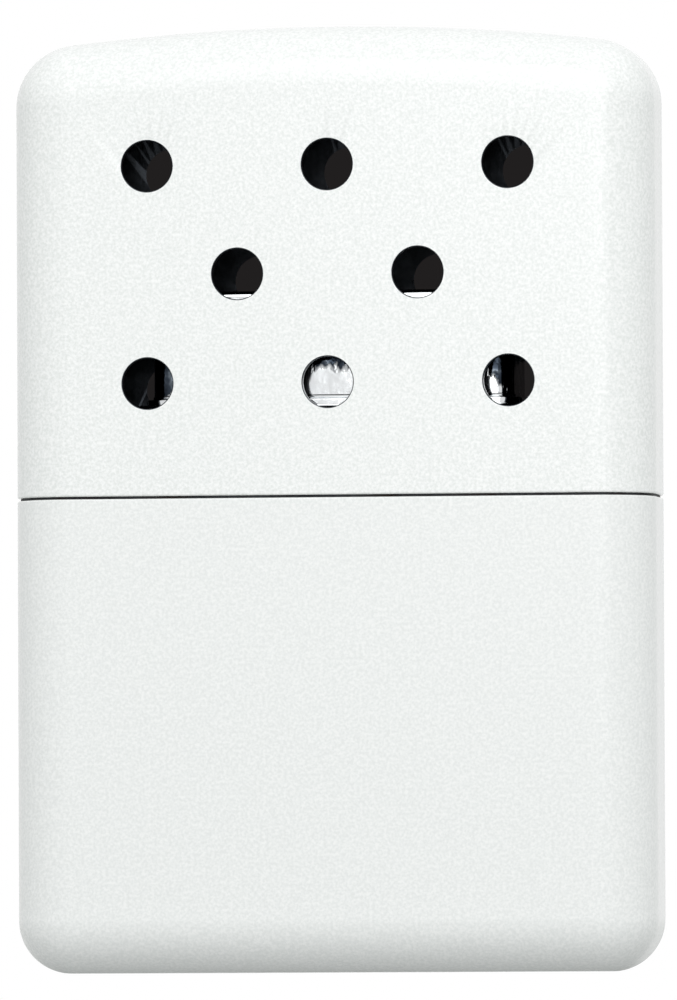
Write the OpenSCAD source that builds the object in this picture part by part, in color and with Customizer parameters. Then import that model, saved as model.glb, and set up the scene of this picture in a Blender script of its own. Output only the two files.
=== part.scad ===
// Pocket-size catalytic hand warmer: a flat drawn-metal case in two halves. The lower half is the fuel
// tank, packed with cotton. A plated collar closes it and carries an oval filler neck. A slotted burner
// with a glass-fibre catalyst mat plugs over the neck, and a vented lid slides down over the collar.
// The case stands on its flat bottom: X is its width, Y its thickness (front at -Y), Z is up.
// All sizes are in millimetres.

/* [Case] */
// Width of the case
case_w = 50.8; // [46:0.1:60]
// Thickness of the case, front to back
case_t = 13.5; // [13:0.25:16]
// Height of the closed case at the middle of its arched top
case_h = 74.5; // [72:0.5:85]
// Thickness of the painted sheet metal
wall = 0.6; // [0.4:0.05:0.7]
// Radius of the rolled long edges
edge_r = 4.8; // [4.5:0.1:5.2]
// Radius of the lid's upper corners, seen from the front
corner_r = 5; // [5:0.17:6.7]
// Radius of the roll round the flat bottom
foot_r = 4.2; // [3:0.1:4.3]

/* [Seam] */
// Height of the base's upper rim
rim_z = 37.25; // [34:0.05:39]
// Height of the flange that shows in the seam
seam_gap = 0.2; // [0.2:0.05:0.5]
// How far the flange's edge stays inside the case's outer face
seam_recess = 0.25; // [0.2:0.05:0.4]
// Radius on the outer edge of both rims
rim_r = 0.15; // [0.1:0.05:0.3]

/* [Vents] */
// Diameter of a vent
vent_d = 4; // [3:0.1:5]
// Distance between neighbouring vents in a row
vent_pitch_x = 14.3; // [10:0.05:15]
// Distance between rows
vent_pitch_z = 8.55; // [6:0.05:9]
// Height of the lowest row
vent_low_z = 46.3; // [44:0.1:47]

/* [Tank collar] */
// Gap between the collar and the inside of the lid
collar_gap = 0.15; // [0.1:0.05:0.25]
// Sheet thickness of the plated pieces of the tank
collar_wall = 0.5; // [0.3:0.05:0.6]
// Height of the collar's flat top
collar_z = 44.6; // [42:0.1:45]
// How far the collar's skirt reaches below the seam
skirt_depth = 2.2; // [1:0.1:4]
// Radius of the collar's drawn shoulder
shoulder_r = 0.9; // [0.6:0.1:1.2]

/* [Filler neck] */
// Width of the neck
neck_w = 22; // [18:0.5:23]
// Thickness of the neck, front to back
neck_t = 6.6; // [6.4:0.1:7]
// Height of the neck above the collar
neck_rise = 4.7; // [4.4:0.1:4.9]
// Thickness of the plate round the foot of the neck
neck_plate_h = 0.5; // [0.4:0.05:0.6]

/* [Burner] */
// Width of the burner
burner_w = 28.6; // [27.5:0.1:30]
// Thickness of the burner, front to back
burner_t = 9.2; // [9:0.1:10]
// Height of the burner's top
burner_top_z = 53.6; // [53:0.1:54]
// Radius of the burner's upright corners
burner_corner_r = 1.6; // [1.2:0.1:2.5]
// Radius round the burner's top
burner_top_r = 0.5; // [0.5:0.1:1.1]
// Sheet thickness of the burner
burner_wall = 0.4; // [0.3:0.05:0.5]
// Slots in one row of the burner's top
slot_count = 6; // [3:1:7]

/* [Hidden] */

$fn = 96;
// Overlap that keeps a cut clear of the face that it starts from
over = 1;

// The rolled edges turn about upright lines at these distances from the middle
axis_x = case_w / 2 - edge_r;
axis_y = case_t / 2 - edge_r;

// The arch's centre, a corner's centre and the upright between them make a right triangle of this shape,
// which keeps the arch tangent to the corners and every length in it a round one
arch_base = 17;
arch_upright = 144;
arch_slant = 145;
corner_x = case_w / 2 - corner_r;
arch_unit = corner_x / arch_base;
crown_r = arch_slant * arch_unit + corner_r;
crown_z = case_h - crown_r;
corner_z = crown_z + arch_upright * arch_unit;

// The middle line of the lid's rolled edge
crown_mid_r = crown_r - edge_r;
corner_mid_r = corner_r - edge_r;
// Small steps for the arch, which is nearly flat
arch_fn = 360;

// Seam and lid
lid_rim_z = rim_z + seam_gap;
// Height at which the lid's upright band meets its arched top
lid_band_z = 40;

// Distances of the inner pieces' walls from the case's outer face
collar_inset = wall + collar_gap;
collar_bore_inset = collar_inset + collar_wall;
skirt_z = rim_z - skirt_depth;

// Neck
neck_top_z = collar_z + neck_rise;
neck_plate_z = collar_z + neck_plate_h;
neck_wall = 0.5;
neck_foot_z = collar_z - 1.2;
neck_play = 0.1;
neck_lip_r = 0.2;
neck_plate_edge = 0.6;

// Burner, from its foot upwards
burner_in_w = burner_w - 2 * burner_wall;
burner_in_t = burner_t - 2 * burner_wall;
burner_in_r = burner_corner_r - burner_wall;
socket_z = neck_plate_z + 0.5;
socket_h = 0.5;
socket_play = 0.15;
screen_h = 0.3;
screen_top_z = burner_top_z - burner_wall;
mat_h = 2.1;
mat_top_z = screen_top_z - screen_h;
tray_h = 0.4;
tray_lip = 1.1;
tray_top_z = mat_top_z - mat_h;
mat_margin = 0.3;
// The screen's edge clears the roll round the burner's top
screen_margin = burner_top_r - burner_wall;

// Slots and perforations
slot_pitch = (burner_w - 4) / slot_count;
slot_bar = 1.1;
slot_t = 2.6;
slot_row_y = 1.8;
tray_hole_d = 1.5;
tray_hole_pitch_x = 2.7;
tray_hole_pitch_y = 2.3;
tray_hole_cols = 9;
tray_hole_rows = 3;
mesh_cols = 18;
mesh_rows = 5;
mesh_pitch = 1.4;
mesh_opening = 0.95;

// Cotton
wadding_play = 0.15;
wadding_top_z = 34.4;
wadding_cap_h = 3.4;
wadding_split_y = 2.05;
felt_play = 0.1;
felt_top_z = collar_z - 0.1;

// Colours as the object shows them
paint = "ghostwhite";
plating = "silver";
cotton = "whitesmoke";
felt = "ivory";
glass_fibre = "gainsboro";
wire = "darkgray";

// ---- shapes that repeat ----

// Quarter of a disc, in the quadrant given by the signs of sx and sy
module quarter_disc(r, sx, sy) {
  intersection() {
    circle(r);
    translate([sx < 0 ? -2 * r : 0, sy < 0 ? -2 * r : 0]) square(2 * r);
  }
}

// Section across a rolled edge: a plate 2 * half_t thick whose rim is rounded with radius r
module edge_section(r, half_t) {
  flat = half_t - r;
  translate([0, flat]) quarter_disc(r, 1, 1);
  translate([0, -flat]) quarter_disc(r, 1, -1);
  translate([0, -flat]) square([r, 2 * flat]);
}

// Sweeps the profile in children() round the case's plan: X is the distance out from the edge's
// upright line and Y the height. The block between the lines spans from z0 to z1.
module round_the_case(z0, z1) {
  for (sx = [-1, 1], sy = [-1, 1])
    translate([sx * axis_x, sy * axis_y, 0])
      rotate([0, 0, sx > 0 ? (sy > 0 ? 0 : -90) : (sy > 0 ? 90 : 180)])
        rotate_extrude(angle = 90) children();
  for (s = [-1, 1]) {
    translate([-axis_x, s * axis_y, 0])
      rotate([90, 0, s * 90])
        translate([0, 0, s > 0 ? 0 : -2 * axis_x])
          linear_extrude(height = 2 * axis_x) children();
    translate([s * axis_x, s > 0 ? axis_y : -axis_y, 0])
      rotate([90, 0, s > 0 ? 0 : 180])
        linear_extrude(height = 2 * axis_y) children();
  }
  translate([-axis_x, -axis_y, z0]) cube([2 * axis_x, 2 * axis_y, z1 - z0]);
}

// Profile of a drawn wall whose outer face stays inset from the case's outer face
module plain_profile(inset, z0, z1) {
  translate([0, z0]) square([edge_r - inset, z1 - z0]);
}

// The same, closed at its foot by a roll of radius foot
module foot_profile(inset, z0, z1, foot) {
  reach = edge_r - inset;
  translate([0, z0 + foot]) square([reach, z1 - z0 - foot]);
  translate([0, z0]) square([reach - foot, foot]);
  translate([reach - foot, z0 + foot]) quarter_disc(foot, 1, -1);
}

// The same, with a roll of radius top round its upper end
module top_profile(inset, z0, z1, top) {
  reach = edge_r - inset;
  translate([0, z0]) square([reach, z1 - z0 - top]);
  translate([0, z1 - top]) square([reach - top, top]);
  translate([reach - top, z1 - top]) quarter_disc(top, 1, 1);
}

// Upper part of the lid, from height z0 to the arched top, with every face moved in by inset
module arched_top(inset, z0) {
  r = edge_r - inset;
  half_t = case_t / 2 - inset;
  // Flat slab up to the foot of the arch
  translate([-axis_x, -half_t, z0]) cube([2 * axis_x, 2 * half_t, corner_z - z0]);
  // Slab below the arch
  upright(2 * half_t)
    intersection() {
      translate([0, crown_z]) circle(crown_mid_r, $fn = arch_fn);
      translate([-case_w / 2, corner_z]) square([case_w, case_h]);
      arch_slice();
    }
  // Roll along the arch
  intersection() {
    translate([0, 0, crown_z])
      rotate([90, 0, 0])
        rotate_extrude(angle = 180, $fn = arch_fn)
          translate([crown_mid_r, 0]) edge_section(r, half_t);
    upright(case_t + over) arch_slice();
  }
  for (side = [0, 1])
    mirror([side, 0, 0]) {
      // Upright edge
      translate([axis_x, 0, z0])
        linear_extrude(height = corner_z - z0) edge_section(r, half_t);
      // Rolled corner, up to the end of the arch
      difference() {
        translate([corner_x, 0, corner_z])
          rotate([90, 0, 0])
            rotate_extrude(angle = 90) {
              translate([0, -half_t]) square([corner_mid_r, 2 * half_t]);
              translate([corner_mid_r, 0]) edge_section(r, half_t);
            }
        upright(case_t + over) arch_slice();
      }
    }
}

// Stands a shape drawn from the front upright, with its thickness centred front to back
module upright(t) {
  rotate([90, 0, 0]) linear_extrude(height = t, center = true) children();
}

// Slice of the arch's disc between the lines through the corners' centres
module arch_slice() {
  reach = 1.25 * arch_unit;
  translate([0, crown_z])
    polygon([[0, 0], [reach * arch_base, reach * arch_upright], [-reach * arch_base, reach * arch_upright]]);
}

// Rectangle with rounded corners, centred
module rounded_rect(w, t, r) {
  square([w - 2 * r, t], center = true);
  for (s = [-1, 1]) {
    translate([s * (w / 2 - r / 2), 0]) square([r, t - 2 * r], center = true);
    for (v = [-1, 1]) translate([s * (w / 2 - r), v * (t / 2 - r)]) quarter_disc(r, s, v);
  }
}

// Oval with straight sides and round ends, centred
module oval(w, t) {
  square([w - t, t], center = true);
  for (s = [-1, 1])
    translate([s * (w - t) / 2, 0])
      intersection() {
        circle(t / 2);
        translate([s > 0 ? 0 : -t, -t]) square([t, 2 * t]);
      }
}

// Places children at every vent: three, two and three across
module at_vents() {
  for (row = [0:2])
    for (col = [0:(row == 1 ? 1 : 2)])
      translate([(col - (row == 1 ? 0.5 : 1)) * vent_pitch_x, 0, vent_low_z + row * vent_pitch_z])
        children();
}

// ---- the case ----

module base_shell() {
  color(paint)
    difference() {
      round_the_case(0, rim_z) base_profile();
      round_the_case(wall, rim_z + over) foot_profile(wall, wall, rim_z + over, foot_r - wall);
    }
}

// Outer profile of the base: rolled foot, upright wall and a softened rim
module base_profile() {
  foot_profile(0, 0, rim_z - rim_r, foot_r);
  translate([0, rim_z - rim_r]) square([edge_r - rim_r, rim_r]);
  translate([edge_r - rim_r, rim_z - rim_r]) quarter_disc(rim_r, 1, 1);
}

module lid_shell() {
  color(paint)
    difference() {
      union() {
        round_the_case(lid_rim_z, lid_band_z) lid_band_profile();
        arched_top(0, lid_band_z);
      }
      round_the_case(lid_rim_z - over, lid_band_z) plain_profile(wall, lid_rim_z - over, lid_band_z);
      arched_top(wall, lid_band_z);
      at_vents() rotate([90, 0, 0]) cylinder(h = 2 * case_t, d = vent_d, center = true);
    }
}

// Profile of the lid's lower band, with a softened rim
module lid_band_profile() {
  translate([0, lid_rim_z + rim_r]) square([edge_r, lid_band_z - lid_rim_z - rim_r]);
  translate([0, lid_rim_z]) square([edge_r - rim_r, rim_r]);
  translate([edge_r - rim_r, lid_rim_z + rim_r]) quarter_disc(rim_r, 1, -1);
}

// ---- the tank's plated top ----

// Drawn cap with a shoulder. Its flange rests on the base's rim, and the lid's rim rests on the flange.
module tank_collar() {
  color(plating)
    difference() {
      union() {
        round_the_case(skirt_z, collar_z) top_profile(collar_inset, skirt_z, collar_z, shoulder_r);
        round_the_case(rim_z, lid_rim_z) plain_profile(seam_recess, rim_z, lid_rim_z);
      }
      round_the_case(skirt_z - over, collar_z - collar_wall)
        top_profile(collar_bore_inset, skirt_z - over, collar_z - collar_wall, shoulder_r - collar_wall);
      linear_extrude(height = collar_z + over) oval(neck_w + 2 * neck_play, neck_t + 2 * neck_play);
    }
}

// Oval spout on a base plate
module filler_neck() {
  color(plating)
    difference() {
      union() {
        translate([0, 0, neck_foot_z])
          linear_extrude(height = neck_top_z - neck_foot_z - neck_lip_r) oval(neck_w, neck_t);
        translate([0, 0, neck_top_z - neck_lip_r])
          linear_extrude(height = neck_lip_r) oval(neck_w - neck_lip_r, neck_t - neck_lip_r);
        translate([0, 0, collar_z])
          linear_extrude(height = neck_plate_h)
            rounded_rect(burner_w + 2 * neck_plate_edge, burner_t + 2 * neck_plate_edge,
                         burner_corner_r + neck_plate_edge);
      }
      translate([0, 0, neck_foot_z - over])
        linear_extrude(height = neck_top_z - neck_foot_z + 2 * over)
          oval(neck_w - 2 * neck_wall, neck_t - 2 * neck_wall);
    }
}

// ---- cotton inside the tank ----

// Felt plug in the neck, resting on the wadding
module mouth_felt() {
  color(felt)
    translate([0, 0, wadding_top_z + wadding_cap_h])
      linear_extrude(height = felt_top_z - wadding_top_z - wadding_cap_h)
        oval(neck_w - 2 * (neck_wall + felt_play), neck_t - 2 * (neck_wall + felt_play));
}

// Flat pad that fills the collar below the neck
module wadding_top() {
  color(cotton)
    round_the_case(wadding_top_z, wadding_top_z + wadding_cap_h)
      plain_profile(collar_bore_inset + wadding_play, wadding_top_z, wadding_top_z + wadding_cap_h);
}

// The tank's filling between two planes, front to back
module wadding_slab(y0, y1) {
  inset = wall + wadding_play;
  color(cotton)
    intersection() {
      round_the_case(wall, wadding_top_z) foot_profile(inset, wall, wadding_top_z, foot_r - inset);
      translate([-case_w / 2, y0, 0]) cube([case_w, y1 - y0, case_h]);
    }
}

module wadding_front() {
  wadding_slab(-case_t, -wadding_split_y);
}

module wadding_middle() {
  wadding_slab(-wadding_split_y, wadding_split_y);
}

module wadding_back() {
  wadding_slab(wadding_split_y, case_t);
}

// ---- the burner ----

// Drawn box, open below, whose top is cut into two rows of slots
module burner_body() {
  color(plating)
    difference() {
      burner_block(burner_w, burner_t, burner_corner_r, neck_plate_z, burner_top_z, burner_top_r);
      burner_block(burner_in_w, burner_in_t, burner_in_r, neck_plate_z - over, screen_top_z,
                   burner_top_r - burner_wall);
      for (i = [0:slot_count - 1], s = [-1, 1])
        translate([(i - (slot_count - 1) / 2) * slot_pitch, s * slot_row_y, screen_top_z])
          cube([slot_pitch - slot_bar, slot_t, 4 * burner_wall], center = true);
    }
}

// Upright block with rounded corners and a rolled upper edge
module burner_block(w, t, r, z0, z1, top) {
  line_x = w / 2 - r;
  line_y = t / 2 - r;
  for (sx = [-1, 1], sy = [-1, 1])
    translate([sx * line_x, sy * line_y, 0])
      rotate([0, 0, sx > 0 ? (sy > 0 ? 0 : -90) : (sy > 0 ? 90 : 180)])
        rotate_extrude(angle = 90) block_profile(r, z0, z1, top);
  for (s = [0, 1])
    rotate([0, 0, 180 * s]) {
      translate([line_x, line_y, 0])
        rotate([90, 0, 0]) linear_extrude(height = 2 * line_y) block_profile(r, z0, z1, top);
      translate([-line_x, line_y, 0])
        rotate([90, 0, 90]) linear_extrude(height = 2 * line_x) block_profile(r, z0, z1, top);
    }
  translate([-line_x, -line_y, z0]) cube([2 * line_x, 2 * line_y, z1 - z0]);
}

// Half profile of such a block, outwards from the corner's upright line
module block_profile(r, z0, z1, top) {
  translate([0, z0]) square([r, z1 - z0 - top]);
  translate([0, z1 - top]) square([r - top, top]);
  translate([r - top, z1 - top]) quarter_disc(top, 1, 1);
}

// Plate across the burner's foot. Its oval hole grips the neck.
module burner_socket_plate() {
  color(plating)
    translate([0, 0, socket_z])
      linear_extrude(height = socket_h)
        difference() {
          rounded_rect(burner_in_w, burner_in_t, burner_in_r);
          oval(neck_w + 2 * socket_play, neck_t + 2 * socket_play);
        }
}

// Perforated tray with a lip that presses against the burner's walls
module mat_tray() {
  color(plating) {
    translate([0, 0, tray_top_z - tray_h])
      linear_extrude(height = tray_h)
        difference() {
          rounded_rect(burner_in_w, burner_in_t, burner_in_r);
          for (i = [0:tray_hole_cols - 1], j = [0:tray_hole_rows - 1])
            translate([(i - (tray_hole_cols - 1) / 2) * tray_hole_pitch_x,
                       (j - (tray_hole_rows - 1) / 2) * tray_hole_pitch_y])
              circle(d = tray_hole_d);
        }
    translate([0, 0, tray_top_z - tray_h - tray_lip])
      linear_extrude(height = tray_lip)
        difference() {
          rounded_rect(burner_in_w, burner_in_t, burner_in_r);
          rounded_rect(burner_in_w - 2 * burner_wall, burner_in_t - 2 * burner_wall,
                       burner_in_r - burner_wall);
        }
  }
}

// Glass-fibre mat that carries the catalyst
module catalyst_mat() {
  color(glass_fibre)
    translate([0, 0, tray_top_z])
      linear_extrude(height = mat_h)
        rounded_rect(burner_in_w - 2 * mat_margin, burner_in_t - 2 * mat_margin, burner_in_r);
}

// Wire screen between the mat and the slots
module mat_screen() {
  color(wire)
    translate([0, 0, mat_top_z])
      linear_extrude(height = screen_h)
        difference() {
          rounded_rect(burner_in_w - 2 * screen_margin, burner_in_t - 2 * screen_margin, burner_in_r);
          for (i = [0:mesh_cols - 1], j = [0:mesh_rows - 1])
            translate([(i - (mesh_cols - 1) / 2) * mesh_pitch, (j - (mesh_rows - 1) / 2) * mesh_pitch])
              square(mesh_opening, center = true);
        }
}

base_shell();
tank_collar();
filler_neck();
mouth_felt();
wadding_top();
wadding_front();
wadding_middle();
wadding_back();
burner_body();
burner_socket_plate();
mat_tray();
catalyst_mat();
mat_screen();
lid_shell();
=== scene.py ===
"""The looks of a pocket-size catalytic hand warmer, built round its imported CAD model.

The case is two drawn steel shells in sprayed pearl enamel. Inside the vented lid a plated burner
plugs over an oval neck, which stands on the tank's plated collar. Each shape is drawn in millimetres
with mesh operators, and is turned to metres when its piece is finished, at the place of the CAD node
that it stands for.
"""

import logging
import math
import random
from collections.abc import Iterable, Mapping, Sequence
from dataclasses import dataclass, field, replace
from enum import Enum

import bmesh
import bpy
from bmesh.types import BMEdge, BMesh, BMVert
from bpy.types import Material, Node, NodeSocket, NodeTree, Object
from mathutils import Matrix, Quaternion, Vector, noise


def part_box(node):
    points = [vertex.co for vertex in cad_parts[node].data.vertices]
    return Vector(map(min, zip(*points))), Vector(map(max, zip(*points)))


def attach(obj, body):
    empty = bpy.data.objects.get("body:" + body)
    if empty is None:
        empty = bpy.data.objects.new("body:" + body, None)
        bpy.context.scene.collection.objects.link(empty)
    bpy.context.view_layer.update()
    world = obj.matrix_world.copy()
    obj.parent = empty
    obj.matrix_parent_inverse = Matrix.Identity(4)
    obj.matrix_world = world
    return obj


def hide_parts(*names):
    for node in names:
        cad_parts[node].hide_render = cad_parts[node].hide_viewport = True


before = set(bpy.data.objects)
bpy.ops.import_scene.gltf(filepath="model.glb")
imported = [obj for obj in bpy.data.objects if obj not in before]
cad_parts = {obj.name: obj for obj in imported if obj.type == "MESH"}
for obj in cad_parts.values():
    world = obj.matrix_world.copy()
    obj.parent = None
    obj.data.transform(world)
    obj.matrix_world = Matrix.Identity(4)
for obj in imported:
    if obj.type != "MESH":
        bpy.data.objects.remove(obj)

LOG = logging.getLogger("hand_warmer")

# A millimetre in the frame's metres
MM = 0.001
# Points closer together than this are one point, in millimetres
WELD = 0.002
# Faces that meet at more than this angle keep a crisp edge
CRISP = math.radians(35)
# A face looks into a hollow when its normal leans towards the hollow's core by more than this cosine
INWARDS = 0.2
# The value that noise varies about
NOISE_MIDDLE = 0.5


class Body(Enum):
    """The bodies that the joints move."""

    TANK = "tank"
    BURNER = "burner"
    LID = "lid"


class Slot(Enum):
    """Names of material slots."""

    PEARL_PAINT = "pearl_paint"
    PLATING = "plating"
    COTTON = "cotton"
    FELT = "felt"
    GLASS_FIBRE = "glass_fibre"
    WIRE = "wire"


class Axis(Enum):
    """An axis that flat openings are square to, by its place in a vector."""

    Y = 1
    Z = 2


# ---- finishes ----

# A colour ramp's places and hex colours, in rising order
Stops = tuple[tuple[float, str], ...]


def linear(hex_colour: str) -> tuple[float, float, float, float]:
    """Turns an sRGB hex colour to the linear one that a shader takes.

    Args:
        hex_colour: Six hex digits after a hash.

    Returns:
        Red, green, blue and a full alpha.
    """
    values = [int(hex_colour[i : i + 2], 16) / 255 for i in (1, 3, 5)]
    red, green, blue = (v / 12.92 if v <= 0.04045 else ((v + 0.055) / 1.055) ** 2.4 for v in values)
    return red, green, blue, 1.0


def add_node(
    tree: NodeTree,
    kind: str,
    inputs: Mapping[str | int, object] | None = None,
    stops: Stops = (),
    **settings: object,
) -> Node:
    """Adds a node with its settings and links.

    Args:
        tree: The node tree that it goes into.
        kind: The node's type name after "ShaderNode".
        inputs: For each input, a socket to link from, a node whose first output is linked, or a constant.
        stops: A colour ramp's places and hex colours.
        **settings: Properties of the node itself.

    Returns:
        The new node.
    """
    node = tree.nodes.new("ShaderNode" + kind)
    for name, value in settings.items():
        setattr(node, name, value)
    for name, value in (inputs or {}).items():
        source = value.outputs[0] if isinstance(value, Node) else value
        if isinstance(source, NodeSocket):
            tree.links.new(source, node.inputs[name])
        else:
            node.inputs[name].default_value = source
    for number, (place, colour) in enumerate(stops):
        elements = node.color_ramp.elements
        element = elements[number] if number < len(elements) else elements.new(place)
        element.position = place
        element.color = linear(colour)
    return node


# Places of a colour Mix node's sockets
MIX_FACTOR, MIX_A, MIX_B, MIX_RESULT = 0, 6, 7, 2
NO_STRETCH = (1.0, 1.0, 1.0)


@dataclass(frozen=True)
class Grain:
    """A noise pattern: the real size of a cell on the object, the height of its relief, and its detail."""

    cell_mm: float
    height_mm: float = 0.0
    detail: float = 2.0
    roughness: float = 0.5
    # Below 1 the pattern is drawn out along that axis, after a turn about Z
    stretch: tuple[float, float, float] = NO_STRETCH
    turn_deg: float = 0.0

    def draw(self, tree: NodeTree, place: NodeSocket) -> Node:
        """Draws the pattern.

        Args:
            tree: The material's nodes.
            place: Object coordinates, in metres.

        Returns:
            The noise.
        """
        laid: Node | NodeSocket = place
        if self.stretch != NO_STRETCH:
            turned = (0.0, 0.0, math.radians(self.turn_deg))
            laid = add_node(tree, "Mapping", {"Vector": place, "Rotation": turned, "Scale": self.stretch})
        cells = {"Vector": laid, "Scale": 1 / (self.cell_mm * MM)}
        return add_node(tree, "TexNoise", {**cells, "Detail": self.detail, "Roughness": self.roughness})

    def relief(self, height: Node) -> dict[str, object]:
        """Gives the inputs of a bump as high as the pattern."""
        return {"Distance": self.height_mm * MM, "Height": height}


@dataclass(frozen=True)
class Look:
    """What every material shares."""

    name: str

    def build(self) -> Material:
        """Makes the material.

        Returns:
            The material, its nodes in place.
        """
        material = bpy.data.materials.new(self.name)
        material.use_nodes = True
        tree = material.node_tree
        tree.nodes.clear()
        place = add_node(tree, "TexCoord").outputs["Object"]
        add_node(tree, "OutputMaterial", {"Surface": self.shade(tree, place)})
        return material

    def shade(self, tree: NodeTree, place: NodeSocket) -> Node:
        """Adds the look's own nodes.

        Args:
            tree: The material's nodes.
            place: Object coordinates, in metres.

        Returns:
            The last shader.
        """
        raise NotImplementedError


@dataclass(frozen=True)
class Finish(Look):
    """A surface finish: a stain over reliefs, and constants on the shader's own sockets."""

    stain: Grain
    stops: Stops
    constants: Mapping[str, float]
    # From the broadest to the finest. A clear coat follows the broadest only
    reliefs: tuple[Grain, ...] = ()
    # How the roughness follows the stain, as a map range's inputs
    rough: Mapping[str, float] | None = None

    def shade(self, tree: NodeTree, place: NodeSocket) -> Node:
        """Adds the shader."""
        return add_node(tree, "BsdfPrincipled", self.skin(tree, place))

    def skin(self, tree: NodeTree, place: NodeSocket) -> dict[str, object]:
        """Adds the stain, the roughness that follows it and the reliefs.

        Args:
            tree: The material's nodes.
            place: Object coordinates, in metres.

        Returns:
            What feeds the shader, by its inputs' names.
        """
        stain = self.stain.draw(tree, place)
        skin = {"Base Color": add_node(tree, "ValToRGB", {"Fac": stain}, self.stops), **self.constants}
        if self.rough:
            skin["Roughness"] = add_node(tree, "MapRange", {"Value": stain, **self.rough})
        for grain in self.reliefs:
            under = {"Normal": skin["Normal"]} if "Normal" in skin else {}
            height = stain if grain == self.stain else grain.draw(tree, place)
            skin["Normal"] = add_node(tree, "Bump", grain.relief(height) | under)
            if "Coat Weight" in skin:
                skin.setdefault("Coat Normal", skin["Normal"])
        return skin


# Mica flakes are about 0.05 mm across, and are drawn coarser so that they show at all
FLAKES = Grain(0.24, 0.002, roughness=0.6)
# Sprayed pearl enamel, baked: a soft satin white in which fine mica flakes show as a faint speckle,
# over the orange peel of a sprayed coat
PEARL_ENAMEL = Finish(
    "sprayed_pearl_enamel",
    FLAKES,
    ((0.36, "#E8EBE9"), (0.5, "#F1F3F2"), (0.66, "#FBFCFB")),
    {"Roughness": 0.24, "IOR": 1.5, "Coat Weight": 0.1, "Coat Roughness": 0.12, "Coat IOR": 1.5},
    reliefs=(Grain(1.4, 0.0018), FLAKES),
)
# The same enamel on the base: a little greyer, as a painted shade of the lower shell, and with a fainter
# speckle
SHADED_BASE_ENAMEL = replace(
    PEARL_ENAMEL,
    name="sprayed_pearl_enamel_base_shaded",
    stops=((0.36, "#E9EBEA"), (0.5, "#EFF1F0"), (0.66, "#F7F8F7")),
)
# Bare deep-drawn steel with its oxide skin: dark, half glossy, clouded and finely scored upwards
# over shallow dents. Draw marks are about 0.02 mm wide, and are drawn coarser so that they show
DRAWN_STEEL = Finish(
    "deep_drawn_bare_steel",
    Grain(2.2, detail=5.0, roughness=0.6),
    ((0.3, "#2A2D31"), (0.75, "#4B4F54")),
    {"Metallic": 1.0},
    reliefs=(Grain(0.9, 0.03), Grain(0.09, 0.004, detail=3.0, stretch=(1.0, 1.0, 0.04))),
    rough={"To Min": 0.18, "To Max": 0.45},
)
# Bright chrome over nickel on drawn steel: a mirror with the faint waves and ripples left by drawing
# and buffing, and a thin haze in places
BRIGHT_PLATING = Finish(
    "bright_chrome_plating",
    Grain(5.0, detail=6.0, roughness=0.6),
    ((0.3, "#DEE0E1"), (0.7, "#CDD0D2")),
    {"Metallic": 1.0},
    reliefs=(Grain(1.5, 0.011), Grain(0.35, 0.0012)),
    rough={"From Min": 0.35, "From Max": 0.7, "To Min": 0.05, "To Max": 0.13},
)
# Drawn stainless wire, heat-tinted in patches: plain satin metal, grey to straw
DRAWN_WIRE = Finish(
    "drawn_stainless_wire",
    Grain(3.0, detail=4.0),
    ((0.45, "#A7A5A1"), (0.7, "#9B8C74")),
    {"Metallic": 1.0, "Roughness": 0.32},
)
# Steel of the flange's edge, painted dull and dark as the shade in the narrow seam, with brown patches
SEAM_SHADE_STEEL = Finish(
    "painted_seam_shade_steel",
    Grain(2.0, detail=4.0),
    ((0.45, "#38393C"), (0.7, "#2A2320")),
    {"Metallic": 1.0, "Roughness": 0.55},
)


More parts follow.
